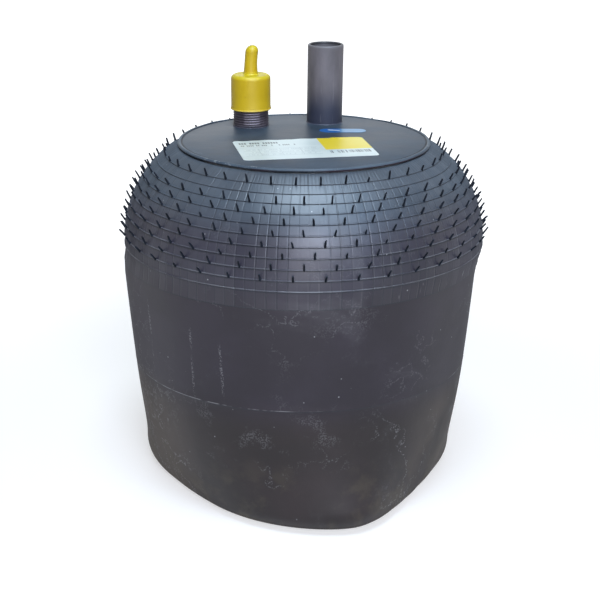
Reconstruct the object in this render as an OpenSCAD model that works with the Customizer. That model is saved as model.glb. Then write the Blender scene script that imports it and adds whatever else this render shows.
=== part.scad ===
// Rolling-lobe air suspension spring, standing on its piston with the lobe at the floor.
// Origin: centre of the piston's base. +Z runs up to the bead plate. Millimetres.

/* [Main sizes] */
// Height of the bead plate's top face above the piston's base
ride_height = 320; // [310:1:340]
// Largest outer diameter of the bellows
body_d = 328; // [316:1:340]
// Depth of that largest diameter below the bead plate's top face
shoulder_drop = 88; // [80:1:96]
// Gap between pieces that seat on each other but don't move as one
seat_gap = 0.3; // [0.2:0.05:0.4]

/* [Bead plate] */
// Outer diameter of the bead plate
plate_d = 228; // [220:1:236]
// Thickness of the plate's sheet
plate_t = 2.5; // [2:0.1:3]
// Radius of the roll along the plate's edge
rim_r = 1.9; // [1.6:0.1:2.2]
// Height of the rolled edge above the plate's top face
rim_rise = 0.5; // [0.2:0.1:0.8]
// Distance of the bead wire's circle inside the plate's edge
bead_inset = 0.8; // [0:0.1:2]

/* [Clamp ring] */
// Thickness of the clamp ring's sheet
clamp_t = 2.5; // [2:0.1:3]
// Width of the flange that is welded to the plate
clamp_flange = 6; // [4:0.5:8]
// Reach of the clamp ring's lip past the bead wire's circle
clamp_reach = 1.8; // [0:0.1:2.4]
// Inner bend radius of the pressed sheet parts
bend_r = 2; // [1.5:0.1:2.5]

/* [Bellows] */
// Thickness of the outer rubber cover
cover_t = 2.2; // [1.8:0.1:2.6]
// Thickness of one rubbered cord ply
ply_t = 1; // [0.8:0.1:1.2]
// Thickness of the inner rubber liner
liner_t = 1.8; // [1.4:0.1:2.2]
// Outer diameter of the bellows at its mould seam
seam_d = 309.4; // [305:0.2:312]
// Height of the mould seam above the piston's base
seam_h = 119; // [110:1:130]
// Height of the raised lines round the shoulder
ridge_h = 0.8; // [0.4:0.1:1]
// Number of raised lines round the shoulder
ridge_count = 11; // [7:1:12]
// Distance between raised lines, along the shoulder
ridge_pitch = 9.3; // [8.4:0.1:9.6]
// Distance of the first raised line from the bead, along the shoulder
ridge_gap = 10; // [8:0.5:12]

/* [Slack lobe] */
// Radius of the slack lobe at its flats, where it stands in from the seam
flat_r = 128; // [127:0.5:132]
// Shift of the slack lobe along X
lobe_shift = -1; // [-1:0.5:1]
// Clearance of the lobe above the piston's base
lobe_lift = 1; // [0.6:0.1:3]
// Rounding of the lobe's outer bottom edge at a flat
edge_round = 12.5; // [11:0.5:13]
// Growth of that rounding with the reach of a corner
edge_growth = 0.2; // [0:0.05:0.3]
// Rounding of the lobe's bottom where it turns up along the piston
roll_r = 12; // [10:0.5:12.5]

/* [Bead wires] */
// Thickness of the bead wire rings
wire_d = 5.4; // [4.8:0.1:6]
// Diameter of the lower bead wire's circle
lower_wire_d = 144; // [136:1:150]

/* [Vent spews] */
// Length of a rubber spew
spew_l = 8; // [5:0.5:10]
// Thickness of a rubber spew
spew_d = 1.4; // [1:0.1:1.8]
// Number of spews in one row
spew_count = 38; // [24:1:40]
// Angle at which the spews stand up from the level where the bellows is widest
spew_up = 52; // [30:1:60]

/* [Piston] */
// Outer diameter of the piston
piston_d = 200; // [196:1:206]
// Height of the piston
piston_h = 190; // [180:1:194]
// Thickness of the piston's drawn shell
shell_t = 3; // [2.5:0.1:4]
// Radius of the piston's top edge
piston_round = 16; // [12:0.5:18]
// Thickness of the piston's base plate
base_t = 6; // [5:0.5:10]

/* [Base fixings] */
// Pitch circle of the threaded bushes in the base
bush_pcd = 140; // [120:1:160]
// Number of threaded bushes
bush_count = 4; // [3:1:6]
// Tapping diameter of a bush
bush_bore_d = 10.2; // [8.5:0.1:11]
// Outer diameter of a bush
bush_d = 20; // [16:0.5:24]
// Diameter of a bush's flange
bush_flange_d = 28; // [25:0.5:32]
// Thickness of a bush's flange
bush_flange_t = 4; // [3:0.5:6]
// Length of a bush
bush_l = 22; // [18:0.5:30]

/* [Piston bolt] */
// Diameter of the bolt that holds the bumper and closure to the piston
bolt_d = 16; // [12:1:18]
// Width across the flats of the bolt head and nut
hex_af = 24; // [22:0.5:27]
// Height of the bolt's head
head_h = 10; // [8:0.5:12]
// Height of the weld nut
nut_h = 13; // [10:0.5:16]
// Length of bolt past the nut
bolt_tail = 4; // [1:0.5:8]
// Clearance round the bolt in the plates that it passes
bolt_gap = 0.5; // [0.3:0.1:1]
// Clearance between the bolt's thread and the nut's
thread_gap = 0.1; // [0.05:0.01:0.2]

/* [End closure] */
// Thickness of the end closure's sheet
closure_t = 3; // [2.5:0.1:3.5]
// Clearance of the closure's turned-down lip above the bellows wall
lip_clear = 3.5; // [3:0.5:6]

/* [Bumper] */
// Height of the bumper
bumper_h = 48; // [36:1:50]
// Diameter of the bumper's foot
bumper_d = 88; // [76:1:100]
// Diameter of the bumper's top
bumper_top_d = 60; // [52:1:70]
// Height of the bumper's foot, and rounding of its top edge
bumper_edge = 4; // [3:0.5:6]
// Depth of the bumper's two waists
bumper_waist = 2.5; // [1:0.1:3]
// Thickness of the bumper under its washer
bumper_floor = 12; // [9:0.5:16]
// Diameter of the bumper's washer
washer_d = 34; // [31:0.5:38]
// Thickness of the bumper's washer
washer_t = 3; // [2:0.5:4]

/* [Inlet nipple] */
// Outer diameter of the inlet's pipe thread
inlet_d = 33.25; // [30:0.25:36]
// Bore of the inlet nipple
inlet_bore_d = 25; // [20:0.5:27]
// Height of the inlet nipple above the plate
inlet_h = 44; // [40:1:50]
// Length of the inlet nipple below the plate
inlet_tail = 4; // [2:0.5:6]
// Inlet position across the plate
inlet_x = -50; // [-54:1:-46]
// Inlet position towards the back of the plate
inlet_y = 62; // [58:1:64]
// Leg of the weld round the inlet and the tube
weld_leg = 2; // [1:0.25:3]

/* [Thread cap] */
// Height of the cap's lip above the plate
cap_lift = 15.7; // [12:0.1:20]
// Wall thickness of the cap
cap_t = 1.6; // [1.2:0.1:2]
// Thickness of the cap's top
cap_top_t = 4; // [2:0.1:5]
// Radius of the cap's shoulder
cap_round = 4; // [3:0.5:5]
// Widening of the cap's lip
cap_lip = 0.6; // [0.3:0.1:1]
// Diameter of the finger on the cap, at its root
finger_d = 13; // [11:0.5:15]
// Diameter of the finger's tip
finger_tip_d = 11; // [9:0.5:11]
// Length of the finger
finger_l = 27; // [20:1:32]
// Lean of the finger
finger_lean = 3; // [0:0.5:5]

/* [Guide tube] */
// Outer diameter of the guide tube
tube_d = 33.7; // [30:0.1:36]
// Wall thickness of the guide tube
tube_t = 2.6; // [2:0.1:3.2]
// Height of the guide tube above the plate
tube_h = 74; // [66:1:84]
// Rounding of the guide tube's open end
tube_round = 1.2; // [0.6:0.1:1.4]
// Guide tube position across the plate
tube_x = 19.5; // [16:0.5:24]
// Guide tube position towards the back of the plate
tube_y = 79; // [74:0.5:82]

/* [Labels] */
// Width of the information label
label_w = 118; // [100:1:124]
// Depth of the information label
label_l = 73; // [60:1:76]
// Corner radius of the information label
label_r = 4; // [2:0.5:8]
// Label centre across the plate
label_x = -0.4; // [-3:0.1:3]
// Label centre towards the back of the plate
label_y = -35.8; // [-38:0.1:-34]
// Turn of the label on the plate
label_turn = 12; // [8:1:16]
// Thickness of the printed films
film_t = 0.2; // [0.15:0.05:0.3]
// Length of the blue strip
strip_w = 43; // [36:1:50]
// Width of the blue strip
strip_l = 15; // [10:1:18]
// Strip centre across the plate
strip_x = 36; // [32:1:40]
// Strip centre towards the back of the plate
strip_y = 38; // [35:1:42]

/* [Hidden] */
$fn = 96;

// Depths of the bellows layers, measured inwards from the outside of the cover
ply_depth = cover_t;
inner_ply_depth = ply_depth + ply_t;
liner_depth = inner_ply_depth + ply_t;
wall_t = liner_depth + liner_t;

// A bead is the layers wrapped round their wire: its radius to the outside of the cover
bead_r = wire_d / 2 + seat_gap + liner_depth;
wrap_turn = 240;

// Upper bead and the shoulder arc that starts on it
piston_r = piston_d / 2;
plate_under = ride_height - plate_t;
rim_z = ride_height + rim_rise - rim_r;
wire_r = plate_d / 2 - bead_inset;
shoulder_z = ride_height - shoulder_drop;
bead_z = rim_z - rim_r - seat_gap - bead_r;
bead_rise = bead_z - shoulder_z;
side_step = wire_r - body_d / 2;
shoulder_r = (bead_r * bead_r - bead_rise * bead_rise - side_step * side_step) / (2 * (side_step + bead_r));
shoulder_c = [body_d / 2 - shoulder_r, shoulder_z];
upper_wire = [wire_r, bead_z];
bead_angle = asin(bead_rise / (shoulder_r - bead_r));

// The wall is straight from the shoulder to the seam. Below the seam it hangs slack, in three soft
// corners: angle from the front, reach past the flats, spread to the left and spread to the right
lobe_corners = [[17, 33, 64, 28], [125, 32, 50, 60], [-125, 41, 60, 60]];
corner_tip = 6;
lobe_sections = 48;
// The facets of the slack part pass just outside the round of the seam and of the riser
facet_gap = 0.05;
function facet_r(r) = r / cos(180 / lobe_sections) + facet_gap;
lobe_in_r = facet_r(piston_r + seat_gap);
seam = [seam_d / 2, seam_h];
wall_run = seam - shoulder_c;
wall_angle = atan2(wall_run[1], wall_run[0]) + acos(shoulder_r / norm(wall_run));
riser_foot = lobe_lift + 2.4 * roll_r;

// Lower bead on the flat of the piston's top
seat_z = piston_h + seat_gap;
bead_flare = bead_r * 1.2;
lower_wire = [min(lower_wire_d / 2, piston_r - piston_round - bead_flare), seat_z + bead_r];

// Raised lines round the shoulder, as angles above the largest diameter
ridge_step = ridge_pitch / shoulder_r * 180 / PI;
ridge_first = bead_angle - ridge_gap / shoulder_r * 180 / PI;
ridge_half = ridge_h / shoulder_r * 180 / PI;
function ridge_angle(row) = ridge_first - (row - 1) * ridge_step;

// Rows that carry spews, each with its shift in thirds of the spacing, as on the mould
spew_rows = [[1, -1], [3, 0], [4, -1], [5, 1], [6, 0], [7, -1], [8, 1], [9, 0], [10, -1]];
spew_turn = 360 / spew_count;
// Further up the shoulder they stand a little steeper, a third of the way that the surface turns
function spew_angle(row) = spew_up + ridge_angle(row) / 3;

// Pressed end closure and bumper
hat_z = lower_wire[1] + bead_r + seat_gap;
riser_r = lower_wire[0] - bead_r - seat_gap;
lip_r = lower_wire[0] + bead_r + seat_gap;
bumper_z = piston_h + closure_t;
washer_z = bumper_z + bumper_floor;
bolt_r = bolt_d / 2;
nut_top = piston_h - shell_t;

// Inlet and cap
inlet_r = inlet_d / 2;
cap_bore_r = inlet_r + seat_gap;
cap_z = ride_height + cap_lift;
cap_inside_z = ride_height + inlet_h + seat_gap;
cap_top_z = cap_inside_z + cap_top_t;
cap_r = cap_bore_r + cap_t;
tube_r = tube_d / 2;

// Clamp ring, whose flange ends clear of the inlet
clamp_web_r = wire_r - bead_r - seat_gap;
clamp_lip_z = bead_z - bead_r - seat_gap;
clamp_flange_r = max(clamp_web_r - clamp_t - clamp_flange, norm([inlet_x, inlet_y]) + inlet_r + seat_gap);

function polar(c, r, a) = [c[0] + r * cos(a), c[1] + r * sin(a)];
function arc(c, r, a0, a1, n) = [for (i = [0:n]) polar(c, r, a0 + (a1 - a0) * i / n)];
function backwards(list) = [for (i = [len(list) - 1:-1:0]) list[i]];
function inner_points(list) = [for (i = [1:len(list) - 2]) list[i]];

// Outline of the bellows at one depth: from the upper bead to the seam, and up the piston to the lower bead
function seam_point(depth) = [seam[0] - depth / cos(wall_angle), seam[1]];
function wall_path(depth, from_angle) = concat(
    arc(shoulder_c, shoulder_r - depth, from_angle, wall_angle, 24),
    [seam_point(depth)]
);
function riser_path(depth, to_r) = concat(
    [[piston_r + seat_gap + depth, riser_foot]],
    arc([piston_r - piston_round, piston_h - piston_round], piston_round + seat_gap + depth, 0, 90, 8),
    [[to_r, seat_z + depth]]
);

// The same outline at the outside, with the raised lines
function ridge_points(row) = [
    polar(shoulder_c, shoulder_r, ridge_angle(row) + ridge_half),
    polar(shoulder_c, shoulder_r + ridge_h, ridge_angle(row) + ridge_half / 3),
    polar(shoulder_c, shoulder_r + ridge_h, ridge_angle(row) - ridge_half / 3),
    polar(shoulder_c, shoulder_r, ridge_angle(row) - ridge_half),
    polar(shoulder_c, shoulder_r, ridge_angle(row) - ridge_step / 2)
];
function ridged_path() = concat(
    arc(shoulder_c, shoulder_r, bead_angle, ridge_first + ridge_step / 2, 2),
    [for (row = [1:ridge_count]) each ridge_points(row)],
    [polar(shoulder_c, shoulder_r, min(wall_angle, ridge_angle(ridge_count) - ridge_step)), seam_point(0)]
);

// Radius of the slack lobe round the axis, from +X
function total(list, i = 0) = i < len(list) ? list[i] + total(list, i + 1) : 0;
function turn_from(a, b) = (a - b + 900) % 360 - 180;
function spread(turn, width) =
    max(0, 1 - (norm([turn, corner_tip]) - corner_tip) / (norm([width, corner_tip]) - corner_tip));
function reach(a, corner) =
    let (turn = turn_from(a + 90, corner[0])) corner[1] * spread(turn, turn < 0 ? corner[2] : corner[3]);
function lobe_r(a) = flat_r + lobe_shift * cos(a) + total([for (corner = lobe_corners) reach(a, corner)]);

// Point at one depth of the slack wall, on a smooth curve from the seam to the bottom edge
function hang(end, lean, depth, t) =
    let (
        run = norm(end - seam),
        top = run * [sin(wall_angle), -cos(wall_angle)],
        foot = run * [-sin(lean), -cos(lean)],
        at = (2 * t * t * t - 3 * t * t + 1) * seam + (t * t * t - 2 * t * t + t) * top
            + (3 * t * t - 2 * t * t * t) * end + (t * t * t - t * t) * foot,
        way = (6 * t * t - 6 * t) * (seam - end) + (3 * t * t - 4 * t + 1) * top + (3 * t * t - 2 * t) * foot
    )
    at + depth / norm(way) * [way[1], -way[0]];

// Outline of the slack lobe at one depth and one angle, from the seam down and up along the piston
function lobe_path(depth, a) =
    let (
        r = lobe_r(a),
        round_r = edge_round + edge_growth * (r - flat_r),
        edge_c = [r - round_r, lobe_lift + round_r],
        lean = 2 * atan2(seam[0] - r, seam[1] - edge_c[1]) + wall_angle,
        end = polar(edge_c, round_r, -lean)
    )
    concat(
        [[facet_r(seam_point(depth)[0]), seam[1]]],
        [for (i = [1:3]) hang(end, lean, depth, i / 3)],
        [for (i = [1:4]) polar(edge_c, round_r - depth, -lean + (lean - 90) * i / 4)],
        arc([lobe_in_r + roll_r, lobe_lift + roll_r], roll_r - depth, -90, -180, 3),
        [[lobe_in_r + depth, riser_foot]]
    );

// The turns of a layer round the two bead wires, without the ends that the wall already has
function upper_wrap(depth) = inner_points(concat(
    arc(upper_wire, bead_r - depth, bead_angle, bead_angle + wrap_turn, 20), [[0, 0]]));
function lower_wrap(depth) = inner_points(concat(
    arc(lower_wire, bead_r - depth, -90, -90 - wrap_turn, 20), [[0, 0]]));

// The slack part of one layer, lofted through its sections round the axis
module slack_lobe(depth, thickness) {
    sections = [
        for (k = [0:lobe_sections - 1])
            let (a = k * 360 / lobe_sections)
            [for (p = concat(lobe_path(depth, a), backwards(lobe_path(depth + thickness, a)))) [p[0] * cos(a), p[0] * sin(a), p[1]]]
    ];
    n = len(sections[0]);
    function at(k, j) = (k % lobe_sections) * n + j % n;
    // The outer and the inner face are split along the same diagonals, so that the layers lie face to face
    polyhedron(
        points = [for (section = sections) each section],
        faces = [
            for (k = [0:lobe_sections - 1], j = [0:n - 1])
                let (a = at(k, j), b = at(k + 1, j), c = at(k + 1, j + 1), d = at(k, j + 1))
                each j < n / 2 ? [[a, b, c], [a, c, d]] : [[a, b, d], [b, c, d]]
        ]);
}

// One layer: the shoulder and upper bead, the slack lobe, and the riser with the lower bead
module layer(outer_path, depth, thickness) {
    inside = depth + thickness;
    union() {
        rotate_extrude(angle = 360)
            polygon(concat(
                backwards(upper_wrap(depth)), outer_path,
                backwards(wall_path(inside, bead_angle)), upper_wrap(inside)));
        slack_lobe(depth, thickness);
        rotate_extrude(angle = 360)
            polygon(concat(
                riser_path(depth, lower_wire[0]), lower_wrap(depth),
                backwards(lower_wrap(inside)), backwards(riser_path(inside, lower_wire[0]))));
    }
}

module bellows_cover() {
    color("#4b4b52")
        layer(ridged_path(), 0, cover_t);
}

module outer_cord_ply() {
    color("#7c7468")
        layer(wall_path(ply_depth, bead_angle), ply_depth, ply_t);
}

module inner_cord_ply() {
    color("#8a8274")
        layer(wall_path(inner_ply_depth, bead_angle), inner_ply_depth, ply_t);
}

// The liner closes over the ends of the wraps, so the wires are buried in rubber
module inner_liner() {
    hole_r = bead_r - liner_depth;
    open_turn = 360 - wrap_turn;
    flare_angle = bead_angle - bead_flare / shoulder_r * 180 / PI;
    color("#35353a")
        union() {
            rotate_extrude(angle = 360)
                polygon(concat(
                    [polar(upper_wire, bead_r, bead_angle - open_turn)],
                    arc(upper_wire, hole_r, bead_angle - open_turn, bead_angle - open_turn / 12, 11),
                    wall_path(liner_depth, bead_angle),
                    backwards(wall_path(wall_t, flare_angle))));
            slack_lobe(liner_depth, liner_t);
            rotate_extrude(angle = 360)
                polygon(concat(
                    riser_path(liner_depth, lower_wire[0]),
                    arc(lower_wire, hole_r, -90 + open_turn / 12, -90 + open_turn, 11),
                    [polar(lower_wire, bead_r, -90 + open_turn)],
                    backwards(riser_path(wall_t, lower_wire[0] + bead_flare))));
        }
}

module wire_ring(centre) {
    rotate_extrude(angle = 360)
        translate(centre)
            circle(d = wire_d, $fn = 32);
}

module upper_bead_wire() {
    color("#a8874a")
        wire_ring(upper_wire);
}

module lower_bead_wire() {
    color("#a8874a")
        wire_ring(lower_wire);
}

// Spews stand square on the raised lines of the shoulder
module vent_spews() {
    color("#202024")
        for (entry = spew_rows)
            let (lean = spew_angle(entry[0]) - ridge_angle(entry[0]))
                for (i = [0:spew_count - 1])
                    rotate([0, 0, -90 + (i + entry[1] / 3) * spew_turn])
                        translate([shoulder_c[0], 0, shoulder_c[1]])
                            rotate([0, 90 - ridge_angle(entry[0]), 0])
                                translate([0, 0, shoulder_r + ridge_h + seat_gap + spew_d / 2 * abs(sin(lean))])
                                    rotate([0, -lean, 0])
                                        cylinder(h = spew_l, d = spew_d, $fn = 16);
}

// Sheet of constant thickness through a list of bends: [centre, first angle, last angle, outer side]
function sheet_side(bends, t, side) = [
    for (b = bends) each arc(b[0], bend_r + (b[3] == side ? t : 0), b[1], b[2], 6)
];

// Rolled edge, with the crease just inside it
module bead_plate() {
    rim_c = [plate_d / 2 - rim_r, rim_z];
    crease = 0.5;
    color("#6f7d8a")
        difference() {
            rotate_extrude(angle = 360)
                polygon(concat(
                    [[0, plate_under], [rim_c[0] - rim_r - plate_t, plate_under]],
                    arc(rim_c, rim_r, -120, 160, 20),
                    [
                        [rim_c[0] - rim_r - crease, ride_height - crease],
                        [rim_c[0] - rim_r - 2 * crease, ride_height],
                        [0, ride_height]
                    ]));
            translate([inlet_x, inlet_y, plate_under - 1])
                cylinder(h = plate_t + 2, r = inlet_r);
        }
}

module clamp_ring() {
    top_c = [clamp_web_r - clamp_t - bend_r, plate_under - clamp_t - bend_r];
    foot_c = [clamp_web_r + bend_r, clamp_lip_z + bend_r];
    bends = [[top_c, 90, 0, 1], [foot_c, 180, 270, 0]];
    lip_end = wire_r + clamp_reach;
    color("#8d9299")
        rotate_extrude(angle = 360)
            polygon(concat(
                [[clamp_flange_r, plate_under]], sheet_side(bends, clamp_t, 1),
                [[lip_end, clamp_lip_z], [lip_end, clamp_lip_z - clamp_t]],
                backwards(sheet_side(bends, clamp_t, 0)), [[clamp_flange_r, plate_under - clamp_t]]));
}

// Weld bead round an upright on the plate, as points of its outline
function weld_points(r) = [[r + weld_leg, ride_height], [r, ride_height + weld_leg]];

// The weld's foot is on the plate, and the nipple itself passes through it
module inlet_nipple() {
    chamfer = 1;
    bore_r = inlet_bore_d / 2;
    top = ride_height + inlet_h;
    foot = plate_under - inlet_tail;
    color("#5b5560")
        translate([inlet_x, inlet_y, 0])
            rotate_extrude(angle = 360)
                polygon(concat(
                    [[bore_r, foot], [inlet_r, foot], [inlet_r, ride_height]],
                    weld_points(inlet_r),
                    [[inlet_r, top - chamfer], [inlet_r - chamfer, top], [bore_r, top]]));
}

module guide_tube() {
    bore_r = tube_r - tube_t;
    top = ride_height + tube_h;
    edge_z = top - tube_round;
    color("#6b6b70")
        translate([tube_x, tube_y, 0])
            rotate_extrude(angle = 360)
                polygon(concat(
                    [[bore_r, ride_height]],
                    weld_points(tube_r),
                    arc([tube_r - tube_round, edge_z], tube_round, 0, 90, 6),
                    arc([bore_r + tube_round, edge_z], tube_round, 90, 180, 6)));
}

// Soft cap with a flared lip, a round shoulder and a finger to pull it off by
module thread_cap() {
    finger_r = finger_d / 2;
    tip_r = finger_tip_d / 2;
    color("#d9b91f")
        translate([inlet_x, inlet_y, 0])
            union() {
                rotate_extrude(angle = 360)
                    polygon(concat(
                        [
                            [cap_bore_r, cap_z], [cap_r + cap_lip, cap_z],
                            [cap_r + cap_lip, cap_z + cap_lip], [cap_r, cap_z + 3 * cap_lip]
                        ],
                        arc([cap_r - cap_round, cap_top_z - cap_round], cap_round, 0, 90, 8),
                        [[0, cap_top_z], [0, cap_inside_z], [cap_bore_r, cap_inside_z]]));
                translate([0, 0, cap_inside_z + cap_top_t / 2])
                    rotate([0, finger_lean, 0])
                        rotate_extrude(angle = 360)
                            polygon(concat(
                                [[0, 0], [finger_r, 0]],
                                arc([0, finger_l + cap_top_t / 2 - tip_r], tip_r, 0, 90, 8)));
            }
}

module rounded_film(w, l, r) {
    x = w / 2 - r;
    y = l / 2 - r;
    linear_extrude(height = film_t)
        polygon(concat(
            arc([x, y], r, 0, 90, 6), arc([-x, y], r, 90, 180, 6),
            arc([-x, -y], r, 180, 270, 6), arc([x, -y], r, 270, 360, 6)));
}

module info_label() {
    color("#e3ebe8")
        translate([label_x, label_y, ride_height])
            rotate([0, 0, label_turn])
                rounded_film(label_w, label_l, label_r);
}

module blue_strip() {
    color("#2e8fd0")
        translate([strip_x, strip_y, ride_height])
            rounded_film(strip_w, strip_l, strip_l / 2 - film_t);
}

// Drawn steel shell, open at the bottom where the base plate closes it
module piston() {
    in_r = piston_r - shell_t;
    edge_c = [piston_r - piston_round, piston_h - piston_round];
    color("#3c4046")
        difference() {
            rotate_extrude(angle = 360)
                polygon(concat(
                    [[in_r, base_t], [piston_r, base_t]],
                    arc(edge_c, piston_round, 0, 90, 8),
                    [[0, piston_h], [0, nut_top]],
                    arc(edge_c, piston_round - shell_t, 90, 0, 8)));
            translate([0, 0, nut_top - 1])
                cylinder(h = shell_t + 2, r = bolt_r + bolt_gap);
        }
}

module at_bushes() {
    for (i = [0:bush_count - 1])
        rotate([0, 0, 45 + i * 360 / bush_count])
            translate([bush_pcd / 2, 0, 0])
                children();
}

module piston_base() {
    color("#4a4e55")
        difference() {
            cylinder(h = base_t, r = piston_r);
            at_bushes()
                translate([0, 0, -1])
                    cylinder(h = base_t + 2, d = bush_d + 2 * thread_gap);
        }
}

// Flanged bushes, welded in from above and flush with the base
module base_bushes() {
    color("#9aa0a6")
        at_bushes()
            difference() {
                union() {
                    cylinder(h = bush_l, d = bush_d);
                    translate([0, 0, base_t])
                        cylinder(h = bush_flange_t, d = bush_flange_d);
                }
                translate([0, 0, -1])
                    cylinder(h = bush_l + 2, d = bush_bore_d);
            }
}

// Pressed dish that hooks over the lower bead and holds it on the piston
module end_closure() {
    foot_c = [riser_r - closure_t - bend_r, bumper_z + bend_r];
    crown_c = [riser_r + bend_r, hat_z - bend_r];
    brim_c = [lip_r - bend_r, hat_z - bend_r];
    bends = [[foot_c, -90, 0, 0], [crown_c, 180, 90, 1], [brim_c, 90, 0, 1]];
    hole_r = bolt_r + bolt_gap;
    lip_z = seat_z + wall_t + lip_clear;
    color("#8d9299")
        rotate_extrude(angle = 360)
            polygon(concat(
                [[hole_r, piston_h]], sheet_side(bends, closure_t, 0),
                [[lip_r, lip_z], [lip_r + closure_t, lip_z]],
                backwards(sheet_side(bends, closure_t, 1)), [[hole_r, bumper_z]]));
}

// Two waists let the bumper fold evenly when the plate lands on it
function bumper_side(u) = [
    bumper_d / 2 + (bumper_top_d - bumper_d) / 2 * u - bumper_waist * (1 - cos(720 * u)) / 2,
    bumper_z + bumper_edge + (bumper_h - 2 * bumper_edge) * u
];

module bumper() {
    steps = 24;
    well_r = washer_d / 2 + seat_gap;
    top_z = bumper_z + bumper_h;
    color("#2b2b2e")
        rotate_extrude(angle = 360)
            polygon(concat(
                [[bolt_r + bolt_gap, bumper_z], [bumper_d / 2, bumper_z]],
                [for (i = [0:steps]) bumper_side(i / steps)],
                arc([bumper_top_d / 2 - bumper_edge, top_z - bumper_edge], bumper_edge, 15, 90, 5),
                [[well_r, top_z], [well_r, washer_z], [bolt_r + bolt_gap, washer_z]]));
}

module bumper_washer() {
    color("#a9adb2")
        translate([0, 0, washer_z])
            difference() {
                cylinder(h = washer_t, d = washer_d);
                translate([0, 0, -1])
                    cylinder(h = washer_t + 2, r = bolt_r + bolt_gap);
            }
}

module hexagon(h) {
    cylinder(h = h, d = hex_af / cos(30), $fn = 6);
}

module piston_bolt() {
    tip_z = nut_top - nut_h - bolt_tail;
    seat = washer_z + washer_t;
    color("#b4b7bb")
        union() {
            translate([0, 0, tip_z])
                cylinder(h = seat - tip_z, r = bolt_r);
            translate([0, 0, seat])
                hexagon(head_h);
        }
}

module piston_nut() {
    color("#b4b7bb")
        translate([0, 0, nut_top - nut_h])
            difference() {
                hexagon(nut_h);
                translate([0, 0, -1])
                    cylinder(h = nut_h + 2, r = bolt_r + thread_gap);
            }
}

piston();
piston_base();
base_bushes();
end_closure();
lower_bead_wire();
bumper();
bumper_washer();
piston_bolt();
piston_nut();
bellows_cover();
outer_cord_ply();
inner_cord_ply();
inner_liner();
upper_bead_wire();
bead_plate();
clamp_ring();
inlet_nipple();
guide_tube();
vent_spews();
info_label();
blue_strip();
thread_cap();
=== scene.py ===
import math
import random

import bpy
import numpy as np
from mathutils import Matrix, Vector, kdtree


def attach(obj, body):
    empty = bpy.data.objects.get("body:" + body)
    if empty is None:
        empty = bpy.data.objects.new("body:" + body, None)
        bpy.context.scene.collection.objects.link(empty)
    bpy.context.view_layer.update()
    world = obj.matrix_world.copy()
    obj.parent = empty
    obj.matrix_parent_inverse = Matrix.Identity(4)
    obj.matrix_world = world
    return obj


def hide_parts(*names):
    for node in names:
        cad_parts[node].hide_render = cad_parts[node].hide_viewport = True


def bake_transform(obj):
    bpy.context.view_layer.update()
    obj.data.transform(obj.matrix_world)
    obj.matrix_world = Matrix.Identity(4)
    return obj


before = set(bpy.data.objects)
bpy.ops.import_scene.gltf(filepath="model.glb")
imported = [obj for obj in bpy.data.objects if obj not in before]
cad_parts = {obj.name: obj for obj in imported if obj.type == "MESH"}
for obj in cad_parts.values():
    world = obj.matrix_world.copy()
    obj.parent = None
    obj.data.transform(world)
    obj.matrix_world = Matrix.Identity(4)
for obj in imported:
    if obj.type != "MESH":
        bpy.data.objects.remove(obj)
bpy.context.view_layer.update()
print("frame loaded:", len(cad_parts), "nodes")

# camera: as the photograph was taken, from the front and a little above

cameraView = {
    "place": (-0.0031, -1.28923, 0.610),  # metres
    "down": 18.99,  # degrees
    "roll": 0.21,
    "lens": 87.03,
    "film": 36,
    "clip": 40,
}

bpy.ops.object.camera_add(location=cameraView["place"])
camera = bpy.context.object
camera.name = "camera"
tilt = Matrix.Rotation(math.radians(90 - cameraView["down"]), 3, "X")
twist = Matrix.Rotation(math.radians(cameraView["roll"]), 3, "Z")
camera.rotation_euler = (tilt @ twist).to_euler()
camera.data.lens = cameraView["lens"]
camera.data.sensor_width = cameraView["film"]
camera.data.clip_end = cameraView["clip"]
bpy.context.scene.camera = camera
print("camera set")


# shader graphs

def feed(tree, node, values):  # an input takes a link or a value
    for key, value in values.items():
        if isinstance(value, Flow):
            tree.links.new(value.socket, node.inputs[key])
        else:
            node.inputs[key].default_value = value


def operator(kind, swapped=False):
    return lambda one, two: one.math(kind, two, one) if swapped else one.math(kind, one, two)


class Flow:  # one socket of a graph: arithmetic on it adds Math nodes
    def __init__(self, tree, socket=None):
        self.tree = tree
        self.socket = socket

    def node(self, kind, inputs={}, out=0, **settings):
        made = self.tree.nodes.new("ShaderNode" + kind)
        for key, value in settings.items():
            setattr(made, key, value)
        feed(self.tree, made, inputs)
        return Flow(self.tree, made.outputs[out])

    def math(self, operation, *values):
        return self.node("Math", dict(enumerate(values)), operation=operation)

    __add__ = operator("ADD")
    __radd__ = operator("ADD", True)
    __sub__ = operator("SUBTRACT")
    __rsub__ = operator("SUBTRACT", True)
    __mul__ = operator("MULTIPLY")
    __truediv__ = operator("DIVIDE")


def tone(*channels):  # a screen colour, 0 to 255, as the shader wants it
    return tuple(((c / 255 + 0.055) / 1.055) ** 2.4 if c > 10 else c / 3294.6 for c in channels) + (1.0,)


def noise(place, scale, detail=3.0, roughness=0.5, distortion=0.0):
    names = ("Vector", "Scale", "Detail", "Roughness", "Distortion")
    return place.node("TexNoise", dict(zip(names, (place, scale, detail, roughness, distortion))))


def cells(place, scale):
    return place.node("TexVoronoi", {"Vector": place, "Scale": scale}, feature="F1")


def fade(value, low, high):  # 0 below low, 1 above high, smooth between
    inputs = {"Value": value, "From Min": low, "From Max": high}
    return value.node("MapRange", inputs, interpolation_type="SMOOTHSTEP")


def fall(value, low, high):
    return 1.0 - fade(value, low, high)


def patch(place, scale, detail, low, high, *more):
    return fade(noise(place, scale, detail, *more), low, high)


def clouds(place, scale, roughness=0.6):
    return patch(place, scale, 4, 0.35, 0.65, roughness)


def line(value, centre, half, soft):  # 1 on a line, 0 beside it
    return fall(value.math("ABSOLUTE", value - centre), half, half + soft)


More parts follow.
